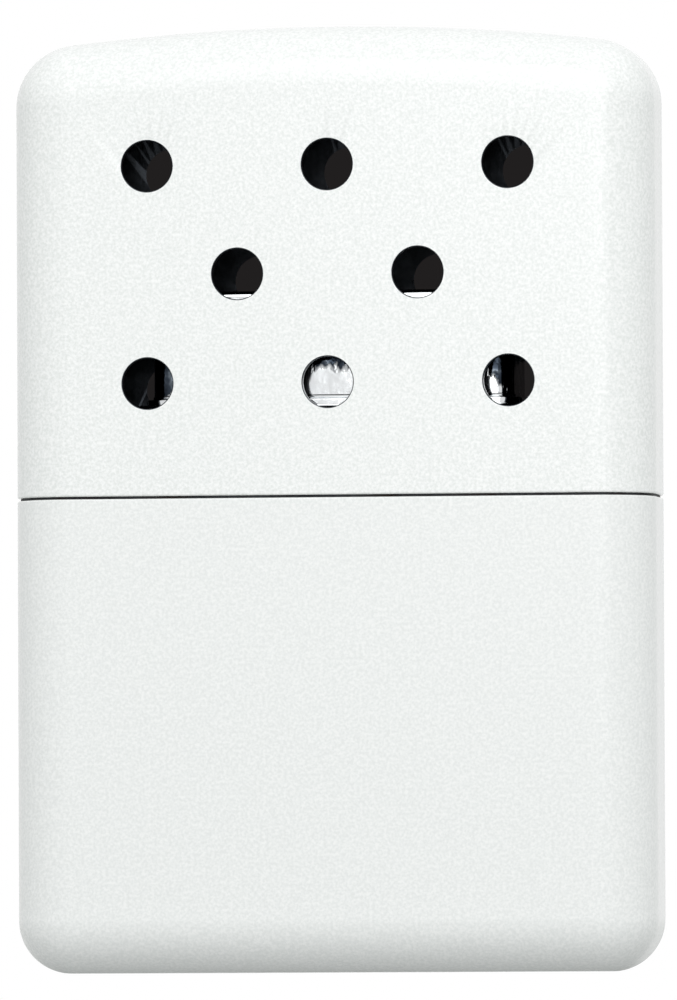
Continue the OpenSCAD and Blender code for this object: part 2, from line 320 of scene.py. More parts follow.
@dataclass(frozen=True)
class DarkBandPlating(Look):
    """The same plating beside the catalyst, crinkled and tinted dark blue-grey in a band with a ragged
    edge.
    """

    name: str = "dark_banded_chrome_plating"
    plain: Finish = BRIGHT_PLATING
    band_tint: Stops = ((0.36, "#181C22"), (0.56, "#343B44"), (0.76, "#7C848C"))
    crinkles: Grain = Grain(1.1, 0.08)
    # The band begins at this height on the faces, and hangs lower at their ends
    band_z: float = 47.6
    band_top_z: float = 52.8
    middle_x: float = 0.6
    straight_half: float = 11.6
    end_slope: float = 1.2
    fade_mm: float = 0.25
    # Runs in the band's ragged edge
    runs: Grain = Grain(0.5, 2.4, stretch=(1.0, 1.0, 0.4))

    def shade(self, tree: NodeTree, place: NodeSocket) -> Node:
        """Lays the dark band over the plain plating.

        Args:
            tree: The material's nodes.
            place: Object coordinates, in metres.

        Returns:
            The last shader.
        """
        skin = self.plain.skin(tree, place)
        band = self.band(tree, place)
        crinkles = self.crinkles.draw(tree, place)
        tint = add_node(tree, "ValToRGB", {"Fac": crinkles}, self.band_tint)
        layers = {MIX_FACTOR: band, MIX_A: skin["Base Color"], MIX_B: tint}
        skin["Base Color"] = add_node(tree, "Mix", layers, data_type="RGBA").outputs[MIX_RESULT]
        height = add_node(tree, "Math", {0: crinkles, 1: band}, operation="MULTIPLY")
        relief = self.crinkles.relief(height)
        skin["Normal"] = add_node(tree, "Bump", {**relief, "Normal": skin["Normal"]})
        return add_node(tree, "BsdfPrincipled", skin)

    def band(self, tree: NodeTree, place: NodeSocket) -> Node:
        """Draws the dark band, ragged below and straight above.

        Args:
            tree: The material's nodes.
            place: Object coordinates, in metres.

        Returns:
            How far a place is in the band, from 0 to 1.
        """
        parts = add_node(tree, "SeparateXYZ", {"Vector": place})
        x, z = parts.outputs["X"], parts.outputs["Z"]
        moved = add_node(tree, "Math", {0: x, 1: self.middle_x * MM}, operation="SUBTRACT")
        across = add_node(tree, "Math", {0: moved}, operation="ABSOLUTE")
        towards_end = add_node(tree, "Math", {0: across, 1: self.straight_half * MM}, operation="SUBTRACT")
        past = add_node(tree, "Math", {0: towards_end, 1: 0.0}, operation="MAXIMUM")
        raised = add_node(tree, "Math", {0: past, 1: self.end_slope, 2: z}, operation="MULTIPLY_ADD")
        runs = self.runs.draw(tree, place)
        centred = add_node(tree, "Math", {0: runs, 1: NOISE_MIDDLE}, operation="SUBTRACT")
        hanging = {0: centred, 1: self.runs.height_mm * MM, 2: raised}
        ragged = add_node(tree, "Math", hanging, operation="MULTIPLY_ADD")
        fades = []
        below_and_above = ((ragged, self.band_z, self.fade_mm), (z, self.band_top_z, -self.fade_mm))
        for height, edge, fade in below_and_above:
            limits = {"From Min": (edge - fade) * MM, "From Max": (edge + fade) * MM}
            fades.append(add_node(tree, "MapRange", {"Value": height, **limits}))
        return add_node(tree, "Math", dict(enumerate(fades)), operation="MULTIPLY")


@dataclass(frozen=True)
class Fibres(Look):
    """Matted fibres, such as cotton, felt or glass wool: matt, soft-edged and full of fine shadows."""

    name: str = "carded_cotton_wadding"
    shading: Stops = ((0.34, "#D8D3C6"), (0.58, "#F1EEE6"))
    lump_mm: float = 2.4
    # One fibre is about 0.02 mm thick, and is drawn coarser so that it shows
    fibre_mm: float = 0.14
    height_mm: float = 0.07
    stretch: tuple[float, float, float] = (0.25, 1.0, 1.0)
    lays_deg: tuple[float, float] = (25.0, -50.0)
    roughness: float = 0.9
    sheen: float = 0.35
    sheen_roughness: float = 0.5

    def shade(self, tree: NodeTree, place: NodeSocket) -> Node:
        """Adds fibres that lie two ways, one or the other from lump to lump.

        Args:
            tree: The material's nodes.
            place: Object coordinates, in metres.

        Returns:
            The last shader.
        """
        lumps = Grain(self.lump_mm, detail=4.0, roughness=0.6).draw(tree, place)
        fibres = Grain(self.fibre_mm, self.height_mm, detail=4.0, roughness=0.7, stretch=self.stretch)
        first, second = (replace(fibres, turn_deg=lay).draw(tree, place) for lay in self.lays_deg)
        height = add_node(tree, "Mix", {"Factor": lumps, "A": first, "B": second})
        look = {
            "Base Color": add_node(tree, "ValToRGB", {"Fac": height}, self.shading),
            "Normal": add_node(tree, "Bump", fibres.relief(height)),
            "Roughness": self.roughness,
            "Sheen Weight": self.sheen,
            "Sheen Roughness": self.sheen_roughness,
        }
        return add_node(tree, "BsdfPrincipled", look)


@dataclass(frozen=True)
class StudioPaper(Look):
    """Matt white paper of the studio floor: even and without gloss, it runs out into the white."""

    name: str = "matt_paper_floor"
    paper_hex: str = "#F6F6F5"
    roughness: float = 0.95
    # The paper is whole out to the first distance from the object, and clear from the second
    whole_mm: float = 90.0
    clear_mm: float = 320.0

    def shade(self, tree: NodeTree, place: NodeSocket) -> Node:
        """Adds the paper, which fades out all round and has a clear underside.

        Args:
            tree: The material's nodes.
            place: Object coordinates, in metres.

        Returns:
            The last shader.
        """
        look = {"Base Color": linear(self.paper_hex), "Roughness": self.roughness}
        paper = add_node(tree, "BsdfPrincipled", {**look, "Specular IOR Level": 0.0})
        away = add_node(tree, "VectorMath", {0: place}, operation="LENGTH").outputs["Value"]
        limits = {"From Min": self.whole_mm * MM, "From Max": self.clear_mm * MM}
        fade = add_node(tree, "MapRange", {"Value": away, **limits}, interpolation_type="SMOOTHSTEP")
        clear = add_node(tree, "BsdfTransparent")
        return clear_from_behind(tree, add_node(tree, "MixShader", {0: fade, 1: paper, 2: clear}))


@dataclass(frozen=True)
class PaintedShadeCard(Look):
    """A glowing card of painted shade: an even dark tone, as of a dark room, seen only from its front."""

    name: str = "painted_shade_card"
    # The painted shade's even dark tone
    shade_hex: str = "#211F1F"

    def shade(self, tree: NodeTree, place: NodeSocket) -> Node:
        """Adds the card's even glow of painted shade."""
        return clear_from_behind(tree, add_node(tree, "Emission", {"Color": linear(self.shade_hex)}))


def clear_from_behind(tree: NodeTree, shader: Node) -> Node:
    """Makes a stage piece one-sided: its back is clear.

    Args:
        tree: The material's nodes.
        shader: What its front shows.

    Returns:
        The mixed shader.
    """
    behind = add_node(tree, "NewGeometry").outputs["Backfacing"]
    return add_node(tree, "MixShader", {0: behind, 1: shader, 2: add_node(tree, "BsdfTransparent")})


FELT = Fibres("pressed_wool_felt", ((0.34, "#BDB49C"), (0.58, "#DDD6C3")), 1.2, height_mm=0.04, sheen=0.25)
GLASS_WOOL = Fibres(
    "needled_glass_fibre_mat",
    ((0.34, "#83858A"), (0.58, "#C6C8CA")),
    lump_mm=1.6,
    fibre_mm=0.1,
    height_mm=0.05,
    roughness=0.7,
    sheen=0.15,
)


@dataclass(frozen=True)
class Palette:
    """The object's materials, made once."""

    lid_enamel: Material = field(default_factory=PEARL_ENAMEL.build)
    base_enamel: Material = field(default_factory=SHADED_BASE_ENAMEL.build)
    bare_steel: Material = field(default_factory=DRAWN_STEEL.build)
    plating: Material = field(default_factory=BRIGHT_PLATING.build)
    dark_banded_plating: Material = field(default_factory=DarkBandPlating().build)
    # Painted shade of the seam between the shells
    seam_shade_edge: Material = field(default_factory=SEAM_SHADE_STEEL.build)
    wire: Material = field(default_factory=DRAWN_WIRE.build)
    cotton: Material = field(default_factory=Fibres().build)
    felt: Material = field(default_factory=FELT.build)
    glass_wool: Material = field(default_factory=GLASS_WOOL.build)


# ---- drawing ----

# A point of a profile, as (u, v)
Spot = tuple[float, float]


@dataclass(frozen=True)
class Line:
    """A straight move of a profile to a point."""

    to: Spot


@dataclass(frozen=True)
class Arc:
    """A round move of a profile about a centre, anticlockwise where degrees is positive."""

    centre: Spot
    degrees: float
    steps: int = 6


@dataclass(frozen=True)
class DrawingPlane:
    """A plane that a profile is drawn in: u runs along across and v along up."""

    origin: Vector
    across: Vector
    up: Vector

    def point(self, u: float, v: float) -> Vector:
        """Gives the place of (u, v)."""
        return self.origin + u * self.across + v * self.up

    def trace(self, bm: BMesh, start: Spot, *moves: Line | Arc) -> list[BMEdge]:
        """Draws a profile as a chain of edges, by extruding its last point.

        Args:
            bm: The mesh that it goes into.
            start: Its first point.
            *moves: The lines and arcs after that.

        Returns:
            The chain's edges.
        """
        normal = self.across.cross(self.up)
        last = bmesh.ops.create_vert(bm, co=self.point(*start))["vert"][0]
        chain: list[BMEdge] = []
        for move in moves:
            steps = move.steps if isinstance(move, Arc) else 1
            for _ in range(steps):
                made = bmesh.ops.extrude_vert_indiv(bm, verts=[last])
                last = made["verts"][0]
                chain.extend(made["edges"])
                if isinstance(move, Line):
                    last.co = self.point(*move.to)
                else:
                    step = Matrix.Rotation(math.radians(move.degrees) / steps, 3, normal)
                    bmesh.ops.rotate(bm, verts=[last], cent=self.point(*move.centre), matrix=step)
        return chain


def pull(bm: BMesh, edges: Sequence[BMEdge], by: Sequence[float]) -> list[BMEdge]:
    """Extrudes edges straight.

    Args:
        bm: The mesh.
        edges: The chain or loop to pull.
        by: How far, as a vector.

    Returns:
        The chain at the far end.
    """
    made = bmesh.ops.extrude_edge_only(bm, edges=edges)["geom"]
    points = {item for item in made if isinstance(item, BMVert)}
    bmesh.ops.translate(bm, vec=by, verts=list(points))
    return [item for item in made if isinstance(item, BMEdge) and set(item.verts) <= points]


def turn(
    bm: BMesh,
    edges: Sequence[BMEdge],
    centre: Sequence[float],
    axis: Sequence[float],
    degrees: float,
    steps: int,
) -> list[BMEdge]:
    """Spins a chain about an axis.

    Args:
        bm: The mesh.
        edges: The chain.
        centre: A point on the axis.
        axis: The axis's direction.
        degrees: How far. A full turn is closed on itself.
        steps: In how many steps.

    Returns:
        The chain at the far end.
    """
    points = dict.fromkeys(vert for edge in edges for vert in edge.verts)
    made = bmesh.ops.spin(
        bm,
        geom=[*points, *edges],
        cent=centre,
        axis=axis,
        dvec=(0.0, 0.0, 0.0),
        angle=math.radians(degrees),
        steps=steps,
        use_merge=abs(degrees) == 360,
        use_normal_flip=False,
        use_duplicate=False,
    )
    return [item for item in made["geom_last"] if isinstance(item, BMEdge)]


def weld(bm: BMesh) -> None:
    """Merges the points at which swept stretches meet."""
    bmesh.ops.remove_doubles(bm, verts=bm.verts[:], dist=WELD)


def close_flat(bm: BMesh, axis: Axis, *places: float) -> None:
    """Closes a swept mesh: welds it, fills its flat openings and turns its faces outwards.

    Args:
        bm: The mesh.
        axis: The axis that its openings are square to.
        *places: Their places along it. Between the loops of one place the mesh is filled.
    """
    for at in places:
        weld(bm)
        rim = [
            edge
            for edge in bm.edges
            if edge.is_boundary and all(abs(v.co[axis.value] - at) < WELD for v in edge.verts)
        ]
        bmesh.ops.triangle_fill(bm, edges=rim, use_beauty=True, use_dissolve=False)
    weld(bm)
    bmesh.ops.recalc_face_normals(bm, faces=bm.faces[:])


@dataclass(frozen=True)
class RoundPlan:
    """A rectangle with round corners seen from above, given by its corners' upright axes.

    An oval is such a plan whose half_y is 0.
    """

    half_x: float
    half_y: float
    middle: Spot = (0.0, 0.0)
    steps: int = 12

    def sweep(self, bm: BMesh, start: Spot, *moves: Line | Arc) -> None:
        """Sweeps a profile all the way round. Its u is the distance from a corner's axis, its v the height.

        Args:
            bm: The mesh.
            start: The profile's first point, which is drawn at the front right corner.
            *moves: The lines and arcs after that.
        """
        x, y = self.middle
        origin = Vector((x + self.half_x, y - self.half_y, 0.0))
        chain = DrawingPlane(origin, Vector((0, -1, 0)), Vector((0, 0, 1))).trace(bm, start, *moves)
        corners = ((1, -1), (1, 1), (-1, 1), (-1, -1))
        runs = ((0, 2 * self.half_y), (-2 * self.half_x, 0), (0, -2 * self.half_y), (2 * self.half_x, 0))
        for (side_x, side_y), (run_x, run_y) in zip(corners, runs, strict=True):
            centre = (x + side_x * self.half_x, y + side_y * self.half_y, 0.0)
            chain = turn(bm, chain, centre, (0, 0, 1), 90, self.steps)
            if run_x or run_y:
                chain = pull(bm, chain, (run_x, run_y, 0.0))
        weld(bm)


def places_about_middle(count: int) -> list[float]:
    """Gives the places of a row one apart, with its middle at 0."""
    return [number - (count - 1) / 2 for number in range(count)]


def box_mm(node: str) -> tuple[Vector, Vector]:
    """Gives a CAD node's lowest and highest corners in millimetres."""
    low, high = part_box(node)
    return low / MM, high / MM


def tube(radius: float, sides: int, half: float, steps: Iterable[tuple[float, float, float]]) -> BMesh:
    """Draws a thin closed tube, as a ring that is pulled on step by step.

    Args:
        radius: Its radius.
        sides: How many sides it has.
        half: Half its length. It starts on the X axis, this far to the left.
        steps: Its steps, as vectors.

    Returns:
        The mesh.
    """
    shape = bmesh.new()
    start = Matrix.Translation((-half, 0, 0)) @ Matrix.Rotation(-math.pi / 2, 4, "Y")
    ring = bmesh.ops.create_circle(shape, cap_ends=True, radius=radius, segments=sides, matrix=start)
    loop = list(dict.fromkeys(edge for vert in ring["verts"] for edge in vert.link_edges))
    for step in steps:
        loop = pull(shape, loop, step)
    bmesh.ops.contextual_create(shape, geom=loop)
    bmesh.ops.recalc_face_normals(shape, faces=shape.faces[:])
    return shape


def stamp(bm: BMesh, shape: BMesh, places: Iterable[Matrix]) -> None:
    """Adds copies of a small mesh to a large one.

    Args:
        bm: The mesh that they are added to.
        shape: The small mesh. It is freed.
        places: Where each copy goes. A place must not mirror it.
    """
    draft = bpy.data.meshes.new("stamp")
    shape.to_mesh(draft)
    shape.free()
    for place in places:
        draft.transform(place)
        bm.from_mesh(draft)
        draft.transform(place.inverted())
    bpy.data.meshes.remove(draft)


def to_object(bm: BMesh, name: str, *materials: Material) -> Object:
    """Puts a mesh into the scene as an object at the origin.

    Args:
        bm: The mesh in metres. It is freed.
        name: The object's name.
        *materials: Its materials, in the order of its faces' indices.

    Returns:
        The object.
    """
    mesh = bpy.data.meshes.new(name)
    bm.to_mesh(mesh)
    bm.free()
    for material in materials:
        mesh.materials.append(material)
    made = bpy.data.objects.new(name, mesh)
    bpy.context.scene.collection.objects.link(made)
    return made


def finish(
    bm: BMesh, name: str, body: Body, slot: Slot, node: str, *materials: Material, fill: float | None = None
) -> None:
    """Turns a drawn mesh into a finished piece.

    Args:
        bm: The mesh in millimetres, its faces pointing outwards. It is freed.
        name: The piece's name.
        body: What it rides on.
        slot: Its material slot. Not used.
        node: The CAD node that it stands for.
        *materials: Its materials, in the order of its faces' indices.
        fill: How full a soft piece is. Such a piece has no crisp edges.
    """
    bmesh.ops.scale(bm, vec=(MM, MM, MM), verts=bm.verts[:])
    for face in bm.faces:
        face.smooth = True
    for edge in bm.edges:
        if fill is None and edge.is_manifold and edge.calc_face_angle() > CRISP:
            edge.smooth = False
    open_edges = sum(not edge.is_manifold for edge in bm.edges)
    piece = to_object(bm, name, *materials)
    shading = piece.modifiers.new("weighted_normals", "WEIGHTED_NORMAL")
    shading.keep_sharp = True
    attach(piece, body.value)
    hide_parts(node)
    LOG.info("%s: %d faces, %d open edges", name, len(piece.data.polygons), open_edges)


# ---- the case ----


@dataclass(frozen=True)
class CaseSizes:
    """Sizes of the two shells in millimetres."""

    width: float
    thickness: float
    base_rim: float
    lid_rim: float
    top: float
    wall: float = 0.6
    edge_r: float = 4.8
    foot_r: float = 4.2
    rim_r: float = 0.15
    # The block that a shell's hollow is rolled round ends this far from the rim
    core_margin: float = 1.0
    steps: int = 20

    @classmethod
    def measured(cls) -> "CaseSizes":
        """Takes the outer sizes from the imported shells.

        Returns:
            The sizes.
        """
        base_low, base_high = box_mm("base_shell")
        lid_low, lid_high = box_mm("lid_shell")
        size = base_high - base_low
        return cls(size.x, size.y, base_rim=base_high.z, lid_rim=lid_low.z, top=lid_high.z)

    @property
    def axis_x(self) -> float:
        """Distance of the corners' upright axes from the middle, along X."""
        return self.width / 2 - self.edge_r

    @property
    def axis_y(self) -> float:
        """The same along Y."""
        return self.thickness / 2 - self.edge_r

    @property
    def plan(self) -> RoundPlan:
        """The shells' plan."""
        return RoundPlan(self.axis_x, self.axis_y, steps=self.steps)

    def core(self, point: Vector, low: float, high: float) -> Vector:
        """Gives the nearest point of the block that the case is rolled round.

        Args:
            point: The point that it is nearest to.
            low: The block's foot.
            high: The block's top.

        Returns:
            The block's point.
        """
        x = min(max(point.x, -self.axis_x), self.axis_x)
        y = min(max(point.y, -self.axis_y), self.axis_y)
        return Vector((x, y, min(max(point.z, low), high)))

    def dress_inside(self, bm: BMesh, low: float, high: float) -> None:
        """Gives the second material to the faces that look into a shell's hollow.

        Args:
            bm: The closed shell, its faces pointing outwards.
            low: The foot of the block that the hollow is rolled round.
            high: The block's top.
        """
        for face in bm.faces:
            middle = face.calc_center_median()
            away = middle - self.core(middle, low, high)
            if away.length > WELD and face.normal.dot(away.normalized()) < -INWARDS:
                face.material_index = 1


@dataclass
class CaseBase:
    """The lower shell: a drawn steel can with a rolled foot, enamelled outside and bare inside."""

    sizes: CaseSizes
    palette: Palette
    break_r: float = 0.08

    def build(self) -> None:
        """Draws the can and dresses it."""
        s = self.sizes
        bm = bmesh.new()
        flat_u, inner_u = s.edge_r - s.foot_r, s.edge_r - s.wall
        rim_u, rim_z = s.edge_r - s.rim_r, s.base_rim - s.rim_r
        break_u, break_z = inner_u + self.break_r, s.base_rim - self.break_r
        s.plan.sweep(
            bm,
            (flat_u, 0.0),
            Arc((flat_u, s.foot_r), 90, s.steps), Line((s.edge_r, rim_z)),
            Arc((rim_u, rim_z), 90, 4), Line((break_u, s.base_rim)),
            Arc((break_u, break_z), 90, 2), Line((inner_u, s.foot_r)),
            Arc((flat_u, s.foot_r), -90, s.steps),
        )
        close_flat(bm, Axis.Z, 0.0, s.wall)
        s.dress_inside(bm, s.foot_r, s.base_rim - s.core_margin)
        looks = (self.palette.base_enamel, self.palette.bare_steel)
        finish(bm, "painted_base", Body.TANK, Slot.PEARL_PAINT, "base_shell", *looks)


@dataclass
class CaseLid:
    """The upper shell: a drawn steel cap with an arched top and rows of punched vents, front and back."""

    sizes: CaseSizes
    palette: Palette
    corner_r: float = 5.0
    # The arch falls by this much in a run of 144 from its middle to a corner's centre
    arch_slope: float = 17 / 144
    arch_steps: int = 32
    vent_d: float = 4.0
    vent_pitch_x: float = 14.3
    vent_pitch_z: float = 8.55
    vent_low_z: float = 46.3
    vent_rows: tuple[int, ...] = (3, 2, 3)
    vent_steps: int = 64
    # The punch rolls the metal in outside, and the enamel rounds it further
    vent_lip_r: float = 0.08
    vent_burr_r: float = 0.06
    # The enamel reaches this far into a vent, and the wall is bare beyond it
    vent_paint_depth: float = 0.25

    def build(self) -> None:
        """Draws the cap with its vents and dresses it."""
        s = self.sizes
        bm = bmesh.new()
        self.roll(bm, 0.0, s.lid_rim + s.rim_r)
        self.roll(bm, s.wall, s.lid_rim + self.vent_burr_r)
        self.draw_rim(bm)
        self.punch_vents(bm)
        outer = s.thickness / 2
        inner = outer - s.wall
        close_flat(bm, Axis.Y, -outer, -inner, outer, inner)
        s.dress_inside(bm, s.lid_rim + s.core_margin, self.arch()[2])
        looks = (self.palette.lid_enamel, self.palette.bare_steel)
        finish(bm, "painted_lid", Body.LID, Slot.PEARL_PAINT, "lid_shell", *looks)

    def arch(self) -> tuple[float, float, float, float]:
        """Works out the arch, which is tangent to both corners.

        Returns:
            A corner centre's distance from the middle, the arch's centre height, a corner centre's
            height, and half the arch's angle in degrees.
        """
        s = self.sizes
        corner_x = s.width / 2 - self.corner_r
        half_angle = math.atan(self.arch_slope)
        arch_z = s.top - self.corner_r - corner_x / math.sin(half_angle)
        return corner_x, arch_z, arch_z + corner_x / self.arch_slope, math.degrees(half_angle)

    def roll(self, bm: BMesh, inset: float, foot: float) -> None:
        """Sweeps the rolled edge up one side, over the arch and down the other side.

        Args:
            bm: The mesh.
            inset: Distance of this face of the sheet from the case's outer face.
            foot: Height at which it starts and ends.
        """
        s = self.sizes
        corner_x, arch_z, corner_z, half_angle = self.arch()
        radius = s.edge_r - inset
        chain = DrawingPlane(Vector((-s.axis_x, 0, foot)), Vector((-1, 0, 0)), Vector((0, 1, 0))).trace(
            bm,
            (0.0, -s.axis_y - radius),
            Arc((0.0, -s.axis_y), 90, s.steps), Line((radius, s.axis_y)),
            Arc((0.0, s.axis_y), 90, s.steps),
        )
        chain = pull(bm, chain, (0, 0, corner_z - foot))
        for centre_x, centre_z, angle, steps in (
            (-corner_x, corner_z, 90 - half_angle, s.steps),
            (0, arch_z, 2 * half_angle, self.arch_steps),
            (corner_x, corner_z, 90 - half_angle, s.steps),
        ):
            chain = turn(bm, chain, (centre_x, 0, centre_z), (0, 1, 0), angle, steps)
        pull(bm, chain, (0, 0, foot - corner_z))

    def draw_rim(self, bm: BMesh) -> None:
        """Rounds the lower rim from the outer face of the sheet to the inner one.

        Args:
            bm: The mesh.
        """
        s = self.sizes
        rim_z = s.lid_rim + s.rim_r
        break_u, break_z = s.edge_r - s.wall + self.vent_burr_r, s.lid_rim + self.vent_burr_r
        s.plan.sweep(
            bm,
            (s.edge_r, rim_z),
            Arc((s.edge_r - s.rim_r, rim_z), -90, 4), Line((break_u, s.lid_rim)),
            Arc((break_u, break_z), -90, 2),
        )

    def vent_places(self) -> list[Spot]:
        """Gives every vent's centre on one side of the lid.

        Returns:
            The centres, as (x, z).
        """
        return [
            (column * self.vent_pitch_x, self.vent_low_z + row * self.vent_pitch_z)
            for row, count in enumerate(self.vent_rows)
            for column in places_about_middle(count)
        ]

    def punch_vents(self, bm: BMesh) -> None:
        """Draws each vent's rounded wall through the front and the back of the lid.

        Args:
            bm: The mesh.
        """
        radius, outer = self.vent_d / 2, self.sizes.thickness / 2
        inner = outer - self.sizes.wall
        lip_u, burr_u = radius + self.vent_lip_r, radius + self.vent_burr_r
        burr_y = inner + self.vent_burr_r
        painted_to = outer - self.vent_paint_depth
        wall = bmesh.new()
        chain = DrawingPlane(Vector((0, 0, 0)), Vector((1, 0, 0)), Vector((0, -1, 0))).trace(
            wall,
            (lip_u, outer),
            Arc((lip_u, outer - self.vent_lip_r), 90, 4), Line((radius, painted_to)),
            Line((radius, burr_y)), Arc((burr_u, burr_y), 90, 2),
        )
        turn(wall, chain, (0, 0, 0), (0, 1, 0), 360, self.vent_steps)
        for face in wall.faces:
            face.material_index = int(face.calc_center_median().y < painted_to)
        places = [Matrix.Translation((x, 0, z)) for x, z in self.vent_places()]
        to_the_back = Matrix.Rotation(math.pi, 4, "Z")
        stamp(bm, wall, [place @ side for place in places for side in (Matrix.Identity(4), to_the_back)])


# ---- the tank's plated top ----


@dataclass
class TankTop:
    """The plated collar that closes the tank, and the oval neck that stands on it."""

    sizes: CaseSizes
    palette: Palette
    sheet: float = 0.5
    lid_play: float = 0.15
    shoulder_r: float = 0.9
    neck_play: float = 0.1
    plate_r: float = 2.2
    plate_h: float = 0.5
    fillet_r: float = 0.3
    # The neck's rolled lip, outside and inside
    lip_out_r: float = 0.25
    lip_in_r: float = 0.15
    edge_break: float = 0.1
    oval_steps: int = 16

    def build(self) -> None:
        """Draws both pieces and dresses them."""
        self.build_collar()
        self.build_neck()

    def neck_oval(self) -> tuple[RoundPlan, float]:
        """Works out the neck's tube from the felt that fills it.

        Returns:
            Its plan and its outer radius.
        """
        low, high = box_mm("mouth_felt")
        radius = (high.y - low.y) / 2 + self.neck_play + self.sheet
        half_x = (high.x - low.x - (high.y - low.y)) / 2
        return RoundPlan(half_x, 0.0, steps=self.oval_steps), radius

    def build_collar(self) -> None:
        """Draws the collar: a skirt in the base, a flange on its rim, and a shouldered cap."""
        s = self.sizes
        low, high = box_mm("tank_collar")
        reach = s.edge_r - s.wall - self.lid_play
        bore = reach - self.sheet
        deck = high.z
        shoulder, roll_z = reach - self.shoulder_r, deck - self.shoulder_r
        cut = self.edge_break
        flange = high.x - s.axis_x
        bm = bmesh.new()
        s.plan.sweep(
            bm,
            (shoulder, deck),
            Arc((shoulder, roll_z), -90, 10), Line((reach, s.lid_rim)),
            Line((flange - cut, s.lid_rim)), Arc((flange - cut, s.lid_rim - cut), -90, 3),
            Line((flange, s.base_rim + cut)), Arc((flange - cut, s.base_rim + cut), -90, 3),
            Line((reach, s.base_rim)), Line((reach, low.z + cut)),
            Arc((reach - cut, low.z + cut), -90, 3), Line((bore + cut, low.z)),
            Arc((bore + cut, low.z + cut), -90, 3), Line((bore, roll_z)),
            Arc((shoulder, roll_z), 90),
        )
        oval, radius = self.neck_oval()
        hole = radius + self.neck_play
        oval.sweep(bm, (hole, deck), Line((hole, deck - self.sheet)))
        close_flat(bm, Axis.Z, deck, deck - self.sheet)
        # The flange's edge in the seam gets the dark steel, a painted shade of the narrow gap
        for face in bm.faces:
            middle = face.calc_center_median()
            in_seam = s.base_rim - WELD < middle.z < s.lid_rim + WELD
            if in_seam and (middle - s.core(middle, middle.z, middle.z)).length > reach + WELD:
                face.material_index = 1
        looks = (self.palette.plating, self.palette.seam_shade_edge)
        finish(bm, "plated_collar", Body.TANK, Slot.PLATING, "tank_collar", *looks)

    def build_neck(self) -> None:
        """Draws the neck: a tube with a rolled lip, filleted into its base plate."""
        low, high = box_mm("filler_neck")
        deck = box_mm("tank_collar")[1].z
        oval, radius = self.neck_oval()
        bore = radius - self.sheet
        top, plate_top = high.z, deck + self.plate_h
        lip_out, lip_in, fillet = self.lip_out_r, self.lip_in_r, self.fillet_r
        bm = bmesh.new()
        oval.sweep(
            bm,
            (radius + fillet, plate_top),
            Arc((radius + fillet, plate_top + fillet), -90, 5), Line((radius, top - lip_out)),
            Arc((radius - lip_out, top - lip_out), 90, 5), Line((bore + lip_in, top)),
            Arc((bore + lip_in, top - lip_in), 90, 4), Line((bore, low.z)),
            Line((radius, low.z)), Line((radius, deck)),
        )
        plate = RoundPlan(high.x - self.plate_r, high.y - self.plate_r, steps=10)
        edge, cut = self.plate_r - self.edge_break, self.edge_break
        plate.sweep(bm, (edge, plate_top), Arc((edge, plate_top - cut), -90, 4), Line((self.plate_r, deck)))
        close_flat(bm, Axis.Z, plate_top, deck)
        finish(bm, "plated_neck", Body.TANK, Slot.PLATING, "filler_neck", self.palette.plating)


# ---- soft fillings ----


@dataclass(frozen=True)
class SoftMake:
    """How a soft piece is made, in millimetres: each size of lump in its skin has a depth."""

    voxel: float
    edge_r: float
    coarse: float
    coarse_depth: float
    fine: float
    fine_depth: float
    fill: float

    def block(self, plan: RoundPlan, reach: float, low: float, high: float) -> BMesh:
        """Draws a closed block with rounded edges and an even skin of small faces.

        Args:
            plan: Its corners.
            reach: Distance of its side from the corners' axes.
            low: Height of its foot.
            high: Height of its top.

        Returns:
            The mesh.
        """
        bm = bmesh.new()
        flat, low_z, high_z = reach - self.edge_r, low + self.edge_r, high - self.edge_r
        foot, top = Arc((flat, low_z), 90, 5), Arc((flat, high_z), 90, 5)
        plan.sweep(bm, (flat, low), foot, Line((reach, high_z)), top)
        close_flat(bm, Axis.Z, low, high)
        draft = to_object(bm, "draft")
        voxels = draft.modifiers.new("voxels", "REMESH")
        voxels.mode = "VOXEL"
        voxels.voxel_size = self.voxel
        even = bpy.data.meshes.new_from_object(draft.evaluated_get(bpy.context.evaluated_depsgraph_get()))
        made = bmesh.new()
        made.from_mesh(even)
        for used in (draft.data, even):
            bpy.data.meshes.remove(used)
        return made

    def press(self, bm: BMesh, seed: float) -> None:
        """Presses the skin in by soft lumps, never out of the piece's own space.

        Args:
            bm: The mesh.
            seed: Moves the pattern, so that no two pieces are alike.
        """
        bm.normal_update()
        shift = Vector((seed, 2 * seed, 3 * seed))
        moved = []
        for vert in bm.verts:
            coarse = 0.5 + 0.5 * noise.noise(vert.co / self.coarse + shift)
            fine = 0.5 + 0.5 * noise.noise(vert.co / self.fine - shift)
            depth = self.coarse_depth * coarse + self.fine_depth * fine
            moved.append((vert, vert.co - depth * vert.normal))
        for vert, place in moved:
            vert.co = place


